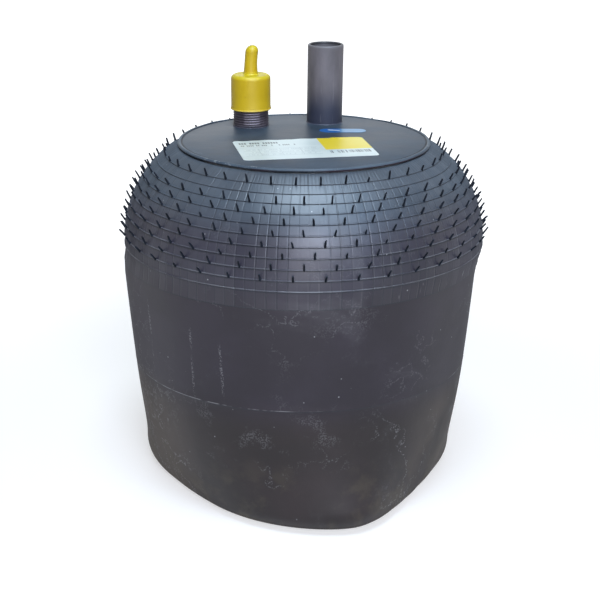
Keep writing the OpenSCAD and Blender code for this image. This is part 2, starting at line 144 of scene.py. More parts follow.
def between(value, low, high, soft):  # 1 between two values, 0 outside
    return fade(value, low - soft, low + soft) * fall(value, high - soft, high + soft)


def offMiddle(value):  # distance from the nearest whole number
    return value.math("FRACT", value + 0.5) - 0.5


def mix(mask, *colours):  # from the first colour to the second
    first, second = (tone(*colour) if isinstance(colour, tuple) else colour for colour in colours)
    return mask.node("Mix", {0: mask, 6: first, 7: second}, 2, data_type="RGBA")


def coats(colour, *layers):  # each layer is a mask, its share and the colour that it lays on
    for mask, share, top in layers:
        colour = mix(mask * share, colour, top)
    return colour


def surface(colour, roughness, height, **more):
    normal = height.node("Bump", {"Height": height, "Distance": 1.0, "Strength": 1.0})
    return {"Base Color": colour, "Roughness": roughness, "Normal": normal, **more}


def objectPlace(flow):
    return flow.node("TexCoord", out="Object")


def material(name, build, level=0.5, place=objectPlace):  # level is the strength of the gloss
    made = bpy.data.materials.new(name)
    made.use_nodes = True
    tree = made.node_tree
    feed(tree, tree.nodes["Principled BSDF"], {"Specular IOR Level": level, **build(place(Flow(tree)))})
    return made


def parts(vector):
    return [vector.node("SeparateXYZ", {0: vector}, axis) for axis in "XYZ"]


def stretch(vector, x, y, z):
    return vector.node("VectorMath", {0: vector, 1: (x, y, z)}, operation="MULTIPLY")


# modelling helpers

def smoothen(angle):
    bpy.ops.object.shade_smooth_by_angle(angle=math.radians(angle))


def selectAll():
    bpy.ops.mesh.select_all(action="SELECT")


def lathe(name, outline, steps, smooth):  # spins an outline of (radius, height)
    bpy.ops.mesh.primitive_plane_add(size=0.001)
    piece = bpy.context.object
    piece.name = piece.data.name = name
    bpy.ops.object.mode_set(mode="EDIT")
    bpy.ops.mesh.select_mode(type="VERT")
    selectAll()
    bpy.ops.mesh.merge(type="CENTER")
    bpy.ops.transform.translate(value=(outline[0][0], 0, outline[0][1]))
    for here, there in zip(outline, outline[1:]):
        way = (there[0] - here[0], 0, there[1] - here[1])
        bpy.ops.mesh.extrude_region_move(TRANSFORM_OT_translate={"value": way})
    selectAll()
    bpy.ops.mesh.spin(steps=steps, angle=2 * math.pi, center=(0, 0, 0), axis=(0, 0, 1))
    selectAll()
    bpy.ops.mesh.remove_doubles(threshold=1e-6)
    selectAll()
    bpy.ops.mesh.normals_make_consistent(inside=False)
    bpy.ops.object.mode_set(mode="OBJECT")
    smoothen(smooth)
    return piece


def pick(*pieces):
    bpy.ops.object.select_all(action="DESELECT")
    for piece in pieces:
        piece.select_set(True)
    bpy.context.view_layer.objects.active = pieces[0]


def settle(piece):  # its place goes into its mesh
    pick(piece)
    bpy.ops.object.transform_apply(location=True, rotation=True, scale=True)
    return piece


def paint(piece, made):
    piece.data.materials.clear()
    piece.data.materials.append(made)


def modify(piece, kind, name, **settings):
    pick(piece)
    modifier = piece.modifiers.new(name, kind)
    for key, value in settings.items():
        setattr(modifier, key, value)
    bpy.ops.object.modifier_apply(modifier=name)


def places(piece):
    return np.array([v.co for v in piece.data.vertices])


def spread(vertex, factor):  # away from the axis
    vertex.co.x *= factor
    vertex.co.y *= factor


def moved(piece, x, y):
    for vertex in piece.data.vertices:
        vertex.co.x += x
        vertex.co.y += y
    return piece


def arc(centre, radius, first, last, count):
    angles = np.radians(np.linspace(first, last, count + 1))
    return [(centre[0] + radius * np.cos(a), centre[1] + radius * np.sin(a)) for a in angles]


def eased(t):
    return t * t * (3 - 2 * t)


# bellows: all layers follow one outline, which hangs slack in soft corners at the floor

bellows = {
    "bodyRadius": 0.164,
    "shoulderHeight": 0.232,
    "upperWire": (0.1132, 0.3092),
    "lowerWire": (0.072, 0.1975),
    "beadRadius": 0.0072,
    "wrapTurn": 240,  # degrees
    "wrapSteps": 20,
    "pistonRadius": 0.100,
    "pistonRound": 0.016,
    "pistonTop": 0.190,
    "seatGap": 0.0003,
    "floorLift": 0.001,
    "ridgeCount": 11,
    "ridgeHeight": 0.0008,
    "ridgeHalf": 0.0008,
    "ridgeCrest": 0.35,  # of its width
    "ridgePitch": 0.0093,
    "ridgeStart": 0.010,  # from the bead, along the shoulder
    "zoneEdge": 0.2134,  # height where the lined zone ends
    "zoneStep": 0.0004,
    "seam": (0.1547, 0.119),  # radius and height of the mould seam
    "seamHeight": 0.0001,
    "seamEase": 0.00007,
    "wallLean": (4.4, 5.5),  # degrees at the shoulder and at the seam
    "wallShift": (-0.0033, 0.200, 0.235),  # to -X below the first height, none above the second
    "flatRadius": 0.128,  # of the slack lobe where it stands in from the seam
    "lobeShift": -0.001,
    "corners": (  # degrees from the front, reach, spread to each side
        (17, 0.0326, 62, 30),
        (48, 0.0032, 12, 10),
        (125, 0.032, 50, 60),
        (-125, 0.041, 60, 60),
    ),
    "cornerTip": 6,
    "cornerEase": 0.16,
    "edgeRound": 0.0125,
    "edgeGrowth": 0.2,
    "rollRadius": 0.012,  # where the lobe turns up along the piston
    "linerFlare": 1.2,  # of the bead's radius
    "around": 180,
    "layers": {  # depths from the outside
        "cover": (0.0, 0.0022),
        "outerPly": (0.0022, 0.0032),
        "innerPly": (0.0032, 0.0042),
        "liner": (0.0042, 0.0060),
    },
}

bead = bellows["beadRadius"]
wire = bellows["upperWire"]
rise = wire[1] - bellows["shoulderHeight"]
step = wire[0] - bellows["bodyRadius"]
shoulderRadius = (bead ** 2 - rise ** 2 - step ** 2) / (2 * (step + bead))
shoulder = (bellows["bodyRadius"] - shoulderRadius, bellows["shoulderHeight"])
beadAngle = math.degrees(math.asin(rise / (shoulderRadius - bead)))
ridgeStep = math.degrees(bellows["ridgePitch"] / shoulderRadius)
ridgeFirst = beadAngle - math.degrees(bellows["ridgeStart"] / shoulderRadius)
riserCentre = bellows["pistonRadius"] + bellows["seatGap"] + bellows["rollRadius"]


def ridgeAngle(row):
    return ridgeFirst - (row - 1) * ridgeStep


def footAt(turn):  # outer radius of the slack lobe at an angle from +X, in radians
    radius = bellows["flatRadius"] + bellows["lobeShift"] * np.cos(turn)
    tip = bellows["cornerTip"]
    for angle, reach, before, after in bellows["corners"]:
        away = (np.degrees(turn) + 90 - angle + 900) % 360 - 180
        width = np.where(away < 0, before, after)
        near = 1 - (np.hypot(away, tip) - tip) / (np.hypot(width, tip) - tip)
        radius = radius + reach * (near + np.hypot(near, bellows["cornerEase"])) / 2
    return radius


def edgeRounding(foot):  # it grows with the corners
    return bellows["edgeRound"] + bellows["edgeGrowth"] * (foot - bellows["flatRadius"])


def shiftAt(height, turn):  # the lean of the standing wall
    shift, low, high = bellows["wallShift"]
    return shift * eased(np.clip((high - height) / (high - low), 0, 1)) * np.cos(turn)


def curve(first, last, lean, count, depth):  # between two points, with a lean inwards at each
    run = np.hypot(first[0] - last[0], first[1] - last[1])
    angles = [np.radians(angle) + 0 * run for angle in lean]
    ways = [(-run * np.sin(angle), -run * np.cos(angle)) for angle in angles]
    ends = (first, ways[0], last, ways[1])
    points = []
    for t in np.linspace(0, 1, count + 1):
        square, cube = t ** 2, t ** 3
        shares = (2 * cube - 3 * square + 1, cube - 2 * square + t, 3 * square - 2 * cube, cube - square)
        slopes = (6 * square - 6 * t, 3 * square - 4 * t + 1, 6 * t - 6 * square, 3 * square - 2 * t)
        r, z = (sum(share * end[i] for share, end in zip(shares, ends)) for i in (0, 1))
        dr, dz = (sum(slope * end[i] for slope, end in zip(slopes, ends)) for i in (0, 1))
        size = np.hypot(dr, dz)
        points.append((r + depth * dz / size, z - depth * dr / size))
    return points


def onShoulder(angle, height=0.0):
    return arc(shoulder, shoulderRadius + height, angle, angle, 0)


def linedShoulder(raised):
    lowest = -bellows["wallLean"][0]
    half = math.degrees(bellows["ridgeHalf"] / shoulderRadius)
    crest = half * bellows["ridgeCrest"]
    points = arc(shoulder, shoulderRadius, beadAngle, ridgeFirst + ridgeStep / 2, 2)
    for row in range(1, bellows["ridgeCount"] + 1):
        for offset, height in ((half, 0), (crest, 1), (-crest, 1), (-half, 0), (-ridgeStep / 2, 0)):
            angle = ridgeAngle(row) + offset
            if angle > lowest:
                points += onShoulder(angle, height * raised * bellows["ridgeHeight"])
    return points + onShoulder(lowest)


def wallFace(depth, turn, lined=False, wraps=True, raised=1.0):  # from the upper bead to the lobe's lowest line
    b = bellows
    lean = b["wallLean"]
    points = []
    if wraps:
        points += arc(wire, bead - depth, beadAngle + b["wrapTurn"], beadAngle, b["wrapSteps"])[:-1]
    if lined:
        points += linedShoulder(raised)
    else:
        points += arc(shoulder, shoulderRadius - depth, beadAngle, -lean[0], 26)
    top = onShoulder(-lean[0])[0]
    upper = curve(top, b["seam"], lean, 14, depth)[1:]
    seam = (b["seam"][0] + shiftAt(b["seam"][1], turn), b["seam"][1])
    foot = footAt(turn)
    rounding = edgeRounding(foot)
    centre = (foot - rounding, b["floorLift"] + rounding)
    end = 2 * np.degrees(np.arctan2(seam[0] - foot, seam[1] - centre[1])) - lean[1]
    start = arc(centre, rounding, -end, -end, 0)[0]
    lower = curve(seam, start, (lean[1], end), 16, depth)[1:]
    if lined:  # the lined zone ends in a small step, and the seam stands out a little
        edge = b["zoneEdge"]
        at = len([p for p in upper if p[1] > edge + 0.0004])
        r = top[0] - (top[1] - edge) * math.tan(math.radians(lean[0] + 0.2))
        out = r + raised * b["zoneStep"]
        upper[at:at] = [(out, edge + 0.0006), (out, edge + 0.0002), (r, edge), (r, edge - 0.0004)]
        r, z = upper.pop()
        out = r + raised * b["seamHeight"]
        upper += [(r + b["seamEase"], z + 0.0006), (out, z + 0.0002), (out, z - 0.0002)]
        lower = [(seam[0] - b["seamEase"], seam[1] - 0.0006)] + lower
    points += [(r + shiftAt(z, turn), z) for r, z in upper] + lower
    points += arc(centre, rounding - depth, -end, -90, 10)[1:]
    return points + [((centre[0] + riserCentre) / 2, b["floorLift"] + depth)]


def rollFace(depth, turn, wraps=True, flare=0.0):  # from the lobe's lowest line up to the lower bead
    b = bellows
    foot = footAt(turn)
    roll = b["rollRadius"]
    centre = (riserCentre, b["floorLift"] + roll)
    riser = riserCentre - roll + depth
    bend = (b["pistonRadius"] - b["pistonRound"], b["pistonTop"] - b["pistonRound"])
    points = [((foot - edgeRounding(foot) + riserCentre) / 2, b["floorLift"] + depth)]
    points += arc(centre, roll - depth, -90, -180, 10)
    points += [(riser, centre[1] + (bend[1] - centre[1]) * t) for t in (0.25, 0.5, 0.75)]
    points += arc(bend, b["pistonRound"] + b["seatGap"] + depth, 0, 90, 8)
    points += [(b["lowerWire"][0] + flare, b["pistonTop"] + b["seatGap"] + depth)]
    if wraps:
        points += arc(b["lowerWire"], bead - depth, -90, -90 - b["wrapTurn"], b["wrapSteps"])[1:]
    return points


def linerFaces(half, turn):  # the liner also closes over the ends of the plies
    outer, inner = bellows["layers"]["liner"]
    hole = bead - outer
    opening = 360 - bellows["wrapTurn"]
    if half == "wall":
        last = beadAngle - opening
        ends = arc(wire, bead, last, last, 0) + arc(wire, hole, last, beadAngle - opening / 12, 11)
        return ends + wallFace(outer, turn, wraps=False), wallFace(inner, turn, wraps=False)[3:]
    low, last = bellows["lowerWire"], opening - 90
    ends = arc(low, hole, opening / 12 - 90, last, 11) + arc(low, bead, last, last, 0)
    flare = bead * bellows["linerFlare"]
    return rollFace(outer, turn, wraps=False) + ends, rollFace(inner, turn, wraps=False, flare=flare)


def bellowsFaces(layer, half, turn, raised):
    outer, inner = bellows["layers"][layer]
    if layer == "liner":
        return linerFaces(half, turn)
    if half == "wall":
        return wallFace(outer, turn, lined=layer == "cover", raised=raised), wallFace(inner, turn)
    return rollFace(outer, turn), rollFace(inner, turn)


def closedOutline(layer, half, turn, raised=1.0):
    outer, inner = bellowsFaces(layer, half, turn, raised)
    points = outer + inner[::-1]
    return np.array([p[0] + 0 * turn for p in points]), np.array([p[1] + 0 * turn for p in points]), len(outer)


def alongOutline(layer, half):  # distance along the outline, without its lines, at +X
    radii, heights, count = closedOutline(layer, half, np.array([0.0]), raised=0.0)
    steps = np.hypot(np.diff(radii[:, 0]), np.diff(heights[:, 0]))
    return np.concatenate([[0], np.cumsum(steps)]), heights[:, 0], count


def markSurface(piece, along):  # UV: turns about the axis, and metres along the outline
    layer = piece.data.uv_layers.new(name="wrap")
    vertexOf = np.array([loop.vertex_index for loop in piece.data.loops])
    co = places(piece)
    turns = np.arctan2(co[:, 1], co[:, 0]) / (2 * math.pi) % 1.0
    u = turns[vertexOf]
    for face in piece.data.polygons:
        loops = list(face.loop_indices)
        if u[loops].max() - u[loops].min() > 0.5:
            u[[i for i in loops if u[i] < 0.5]] += 1.0
    layer.data.foreach_set("uv", np.column_stack([u, along[vertexOf]]).ravel())


def bellowsLayer(name, layer, half):  # spun, then each vertex goes to its angle's outline
    around = bellows["around"]
    radii, heights = closedOutline(layer, half, np.array([0.0]))[:2]
    outline = list(zip(radii[:, 0], heights[:, 0]))
    piece = lathe(name, outline + outline[:1], around, 50)
    tree = kdtree.KDTree(len(outline))
    for i, (r, z) in enumerate(outline):
        tree.insert((r, z, 0), i)
    tree.balance()
    co = places(piece)
    which = np.array([tree.find((math.hypot(x, y), z, 0))[1] for x, y, z in co])
    turns = np.arctan2(co[:, 1], co[:, 0])
    steps = np.round(turns / (2 * math.pi) * around).astype(int) % around
    allTurns = np.arange(around) * 2 * math.pi / around
    radii, heights = closedOutline(layer, half, allTurns)[:2]
    r, z = radii[which, steps], heights[which, steps]
    placed = np.column_stack([r * np.cos(allTurns[steps]), r * np.sin(allTurns[steps]), z])
    piece.data.vertices.foreach_set("co", placed.ravel())
    markSurface(piece, alongOutline(layer, half)[0][which])
    piece.data.update()
    return piece


rubber = {}
for layer in bellows["layers"]:
    title = "bellowsCover" if layer == "cover" else layer
    for half in ("wall", "roll"):
        rubber[layer, half] = bellowsLayer(title + half.capitalize(), layer, half)
print("bellows made")


# vent spews: the whiskers that the mould's vents leave on the raised lines

spews = {
    "rows": {1: -1, 3: 0, 4: -1, 5: 1, 6: 0, 7: -1, 8: 1, 9: 0, 10: -1},  # and their shifts, in thirds
    "around": 38,
    "length": (0.0066, 0.0084),
    "short": (0.06, 0.62),  # how many of them, and their share of the length
    "width": (0.0016, 0.0019),
    "foot": 1.3,  # of the width
    "tip": 0.8,
    "sunk": 0.0004,
    "stand": 52,  # degrees up, on the level part of the shoulder
    "stray": 2.5,  # degrees
    "turnStray": 0.12,
    "bends": (0.04, 0.05),
    "seed": 11,
}


def modelSpew():
    bpy.ops.mesh.primitive_cylinder_add(vertices=6, radius=0.5, depth=1, location=(0, 0, 0.5))
    spew = settle(bpy.context.object)
    spew.name = "spew"
    bpy.ops.object.mode_set(mode="EDIT")
    for level in (0.35, 0.7):
        selectAll()
        bpy.ops.mesh.bisect(plane_co=(0, 0, level), plane_no=(0, 0, 1))
    bpy.ops.object.mode_set(mode="OBJECT")
    for vertex in spew.data.vertices:
        if vertex.co.z < 0.01:
            spread(vertex, spews["foot"])
        elif vertex.co.z > 0.99:
            spread(vertex, spews["tip"])
    smoothen(60)
    return spew


def plantSpews():
    dice = random.Random(spews["seed"])
    first = modelSpew()
    made = []
    foot = shoulderRadius + bellows["ridgeHeight"] - spews["sunk"]
    away = spews["turnStray"]
    for row, shift in spews["rows"].items():
        up = math.radians(ridgeAngle(row))
        lean = up - math.radians(spews["stand"]) - up / 3
        for i in range(spews["around"]):
            turn = math.radians(-90 + (i + shift / 3) * 360 / spews["around"] + dice.uniform(-away, away))
            spew = first.copy()
            spew.data = first.data.copy()
            bpy.context.collection.objects.link(spew)
            few, share = spews["short"]
            length = dice.uniform(*spews["length"]) * (share if dice.random() < few else 1.0)
            width = dice.uniform(*spews["width"])
            leans = [math.radians(dice.gauss(0, spews["stray"])) for axis in range(2)]
            bend = [dice.gauss(0, much) for much in spews["bends"]]
            co = places(spew) * (width, width, length)
            curl = (co[:, 2] / length) ** 2 * length
            co[:, 0] += bend[1] * curl
            co[:, 1] += bend[0] * curl
            spew.data.vertices.foreach_set("co", co.ravel())
            spew.matrix_world = (
                Matrix.Rotation(turn, 4, "Z")
                @ Matrix.Translation((shoulder[0], 0, shoulder[1]))
                @ Matrix.Rotation(math.pi / 2 - up, 4, "Y")
                @ Matrix.Translation((0, 0, foot))
                @ Matrix.Rotation(leans[0], 4, "X")
                @ Matrix.Rotation(lean + leans[1], 4, "Y")
            )
            made.append(spew)
    bpy.data.objects.remove(first)
    pick(*made)
    bpy.ops.object.join()
    piece = bpy.context.object
    piece.name = piece.data.name = "ventSpewWhiskers"
    return settle(piece)


whiskers = plantSpews()
print("vent spews planted")


# bead plate: flat sheet with a rolled edge and a crease just inside it

deck = 0.320  # height of the plate's top
inletAt = (-0.050, 0.062)
inletRadius = 0.016625
beadPlate = {
    "radius": 0.114,
    "sheet": 0.0025,
    "roll": 0.0016,
    "rollUp": 0.0005,
    "crease": 0.0006,
    "bow": 0.0003,  # unevenness of the rolled edge
    "waves": ((0.4, 5, 1.1), (0.35, 11, 0.3), (0.25, 23, 2.0)),  # share, number round the edge, phase
}


def modelPlate():
    b = beadPlate
    under = deck - b["sheet"]
    centre = (b["radius"] - b["roll"], deck + b["rollUp"] - b["roll"])
    inner = centre[0] - b["roll"]
    outline = [(0, under), (0.05, under), (inner - b["sheet"], under)]
    outline += arc(centre, b["roll"], -120, 155, 26)
    outline += [(inner - 0.0002, deck - b["crease"]), (inner - 0.0008, deck - b["crease"] * 0.6)]
    outline += [(inner - 0.0016, deck), (0.06, deck), (0, deck)]
    plate = lathe("beadPlateSheet", outline, 160, 40)
    bpy.ops.mesh.primitive_cylinder_add(vertices=96, radius=inletRadius, depth=0.02, location=(*inletAt, deck))
    drill = bpy.context.object
    modify(plate, "BOOLEAN", "inletHole", operation="DIFFERENCE", solver="EXACT", object=drill)
    bpy.data.objects.remove(drill)
    for vertex in plate.data.vertices:  # a rolled edge is never quite even
        x, y, z = vertex.co
        out = math.hypot(x, y) - inner + 0.002
        if out > 0:
            turn = math.atan2(y, x)
            wave = sum(share * math.sin(count * turn + phase) for share, count, phase in b["waves"])
            vertex.co.z += b["bow"] * wave * min(1, out / 0.003)
    pick(plate)
    smoothen(40)
    return plate


plateSheet = modelPlate()
print("bead plate made")


# air inlet: pipe nipple with its thread, welded into the plate

inlet = {
    "bore": 0.0125,
    "foot": 0.3135,
    "weld": 0.0006,
    "weldSteps": ((1, -1 / 3), (1, 1 / 3), (0.75, 0.5), (0.3, 0.9), (-0.5, 1)),  # out and up, in weld sizes
    "ripple": (0.012, 41),  # height, number round the weld
    "threadFrom": 0.3215,
    "threadStart": 0.0003,  # how far in from the outside the turned length is drawn
    "top": 0.364,
    "pitch": 0.002309,
    "threadDepth": 0.0005,
    "perPitch": 8,
    "edge": 0.0006,
}


def modelNipple():
    n, major = inlet, inletRadius
    bore, edge, base = n["bore"], n["edge"], n["threadFrom"]
    turned = major - n["threadStart"]
    level = n["pitch"] / n["perPitch"]
    rows = int((n["top"] - 0.0012 - base) / n["pitch"] * n["perPitch"])
    last = base + rows * level
    outline = [(bore, n["foot"]), (major - edge, n["foot"]), (major, n["foot"] + edge), (major, deck - 0.0005)]
    outline += [(major + out * n["weld"], deck + up * n["weld"]) for out, up in n["weldSteps"]]
    outline += [(turned, base + i * level) for i in range(rows + 1)]
    outline += [(major - 0.0014, n["top"] - 0.0003), (major - 0.0018, n["top"]), (bore + edge, n["top"])]
    outline += [(bore, n["top"] - edge), (bore, n["foot"])]
    nipple = lathe("inletNippleThreaded", outline, 84, 70)
    for vertex in nipple.data.vertices:
        x, y, z = vertex.co
        out, turn = math.hypot(x, y), math.atan2(y, x)
        if out > bore + 0.002 and base - 1e-5 < z < last + 1e-5:
            phase = (z / n["pitch"] - turn / (2 * math.pi)) % 1.0
            crest = eased(1 - 2 * abs(phase - 0.5))
            runIn = max(0, min(1, (z - base) / (0.5 * n["pitch"]), (last - z) / (0.5 * n["pitch"])))
            spread(vertex, (major - n["threadDepth"] * (1 - crest) * runIn) / out)
        elif out > major + 0.0003 and z > deck + 0.0001:
            height, count = n["ripple"]
            spread(vertex, 1 + height * math.sin(count * turn) * (z - deck) / n["weld"])
    return moved(nipple, *inletAt)


nipple = modelNipple()
print("inlet nipple made")


# thread cap: soft plastic, with a finger to pull it off by

cap = {
    "bore": 0.016925,
    "wall": 0.0016,
    "lipAt": 0.3357,
    "lipOut": 0.0006,
    "lipRound": 0.0007,
    "inside": 0.3643,
    "top": 0.3683,
    "round": 0.004,
    "fillet": 0.0015,
    "fingerRoot": 0.0066,
    "fingerTip": 0.0060,
    "fingerWaist": 0.0003,
    "fingerEnd": 0.3953,
    "fingerLean": 4,
    "fingerBow": 0.0005,
    "give": (0.002, 0.6, 0.03),  # how far out of round, its phase and its reach above the lip
}


def modelCap():
    c = cap
    bore, lip, top, fillet = c["bore"], c["lipAt"], c["top"], c["fillet"]
    root, tip, finger = c["fingerRoot"], c["fingerTip"], c["fingerEnd"] - c["fingerTip"]
    out = bore + c["wall"]
    outline = [(0, c["inside"]), (bore - 0.001, c["inside"]), (bore, c["inside"] - 0.001)]
    outline += [(bore, lip + 0.0006), (bore + 0.0004, lip)]
    outline += arc((out + c["lipOut"] - c["lipRound"], lip + c["lipRound"]), c["lipRound"], -90, 60, 8)
    outline += [(out + 0.0002, lip + 0.0022), (out, lip + 0.003), (out, lip + 0.014)]
    outline += arc((out - c["round"], top - c["round"]), c["round"], 0, 90, 12)
    outline += [(root + fillet + 0.002, top)]
    outline += arc((root + fillet, top + fillet), fillet, -90, -180, 6)
    for t in (0.2, 0.4, 0.6, 0.8):
        r = root + (tip - root) * t - c["fingerWaist"] * math.sin(math.pi * t)
        outline += [(r, top + fillet + (finger - top - fillet) * t)]
    outline += arc((0, finger), tip, 0, 90, 12)
    piece = lathe("threadCapSoft", outline, 72, 60)
    lean = math.tan(math.radians(c["fingerLean"]))
    for vertex in piece.data.vertices:
        x, y, z = vertex.co
        if z > top + 0.0001:
            t = (z - top) / (c["fingerEnd"] - top)
            vertex.co.x += lean * (z - top) - c["fingerBow"] * math.sin(math.pi * t)
        elif math.hypot(x, y) > bore + 0.0003:
            much, phase, reach = c["give"]
            wave = math.sin(2 * math.atan2(y, x) + phase)
            spread(vertex, 1 + much * wave * max(0, 1 - (z - lip) / reach))
    return moved(piece, *inletAt)


capPiece = modelCap()
print("thread cap made")


# guide tube

tube = {
    "place": (0.0195, 0.079),
    "radius": 0.01685,
    "wall": 0.0026,
    "top": 0.394,
    "round": 0.0013,
    "weld": 0.0006,
    "weldSteps": ((1, 0), (0.7, 0.5), (0.25, 0.9), (0, 1.1)),
    "ripple": (0.006, 43),
    "lean": 0.0008,  # at the top
}


def modelTube():
    t = tube
    r, bore, edge = t["radius"], t["radius"] - t["wall"], t["round"]
    outline = [(bore, deck)] + [(r + out * t["weld"], deck + up * t["weld"]) for out, up in t["weldSteps"]]
    outline += [(r, deck + 0.03), (r, t["top"] - 0.004)]
    outline += arc((r - edge, t["top"] - edge), edge, 0, 90, 8)
    outline += arc((bore + edge, t["top"] - edge), edge, 90, 180, 8)
    outline += [(bore, deck + 0.03), (bore, deck)]
    piece = lathe("guideTubeWelded", outline, 84, 40)
    for vertex in piece.data.vertices:
        x, y, z = vertex.co
        if math.hypot(x, y) > r + 0.0003 and z > deck + 0.0001:
            height, count = t["ripple"]
            spread(vertex, 1 + height * math.sin(count * math.atan2(y, x)))
        vertex.co.x += t["lean"] * (z - deck) / (t["top"] - deck)
    return moved(piece, *t["place"])


tubePiece = modelTube()
print("guide tube made")


# films on the plate: the information label and the blue strip

label = {
    "size": (0.119, 0.073),
    "corner": 0.004,
    "place": (0.0006, -0.0358, deck),
    "turn": 10.5,
    "lift": 0.0005,  # of its far edge
    "cells": (60, 38),
}
strip = {
    "size": (0.043, 0.015),
    "corner": 0.0072,
    "place": (0.036, 0.038, deck),
    "turn": 0,
    "lift": 0.0,
    "cells": (44, 16),
}
filmThickness = 0.0002


def modelFilm(name, f):
    columns, rows = f["cells"]
    halfWide, halfLong = f["size"][0] / 2, f["size"][1] / 2
    bpy.ops.mesh.primitive_grid_add(x_subdivisions=columns, y_subdivisions=rows, size=2)
    film = bpy.context.object
    film.name = film.data.name = name
    for vertex in film.data.vertices:
        x, y = vertex.co.x * halfWide, vertex.co.y * halfLong
        cx, cy = max(abs(x) - (halfWide - f["corner"]), 0), max(abs(y) - (halfLong - f["corner"]), 0)
        if cx > 0 and cy > 0:  # square corners are drawn in to round ones
            near = max(cx, cy) / math.hypot(cx, cy)
            x -= math.copysign(cx * (1 - near), x)
            y -= math.copysign(cy * (1 - near), y)
        edge = max(0, y / halfLong - 0.72) / 0.28
        wave = 0.5 + 0.3 * math.sin(x * 190 + 0.7) + 0.2 * math.sin(x * 410)
        vertex.co = (x, y, f["lift"] * edge * edge * wave)
    modify(film, "SOLIDIFY", "film", thickness=filmThickness, offset=1)
    film.location = f["place"]
    film.rotation_euler = (0, 0, math.radians(f["turn"]))
    settle(film)
    smoothen(30)
    return film


labelFilm = modelFilm("infoLabelFilm", label)
stripFilm = modelFilm("blueStripFilm", strip)
print("films made")


# finishes of the bellows

def wrapPlace(flow):  # turns and metres of the UV map, rolled up so that noise has no seam
    radius = 0.15
    turns, along = parts(flow.node("UVMap", uv_map="wrap"))[:2]
    angle = turns * (2 * math.pi)
    x, y = flow.math("COSINE", angle) * radius, flow.math("SINE", angle) * radius
    return turns, along, flow.node("CombineXYZ", {0: x, 1: y, 2: along})


def outerMark(height):  # distance along the cover at which its outside is at a height
    along, heights, count = alongOutline("cover", "wall")
    outside = slice(bellows["wrapSteps"], count)
    return float(np.interp(-height, -heights[outside], along[outside]))


def ridgeMark(row):
    return outerMark(shoulder[1] + shoulderRadius * math.sin(math.radians(ridgeAngle(row))))


coverLooks = {
    # the shoulder is lighter and more teal than the lower rows: partly the rubber's tone, partly painted sky
    # reflection
    "shoulder": ((43, 53, 64), (54, 65, 77)),
    "lowerRows": ((28, 27, 41), (36, 35, 50)),
    "wall": ((25, 19, 29), (34, 28, 39)),
    "foot": ((23, 15, 17), (34, 25, 27)),
    "chalkAndHighlight": (150, 150, 152),
    "dark": (20, 26, 36),
    "flankSheenTone": (92, 82, 72),
    "soil": (76, 68, 54),
    "speck": (168, 170, 172),
    "lines": 114,
    "cords": 240,
    "runs": (0.5974, 0.6511, 0.6808),  # where chalk has run down the wall, in turns
}


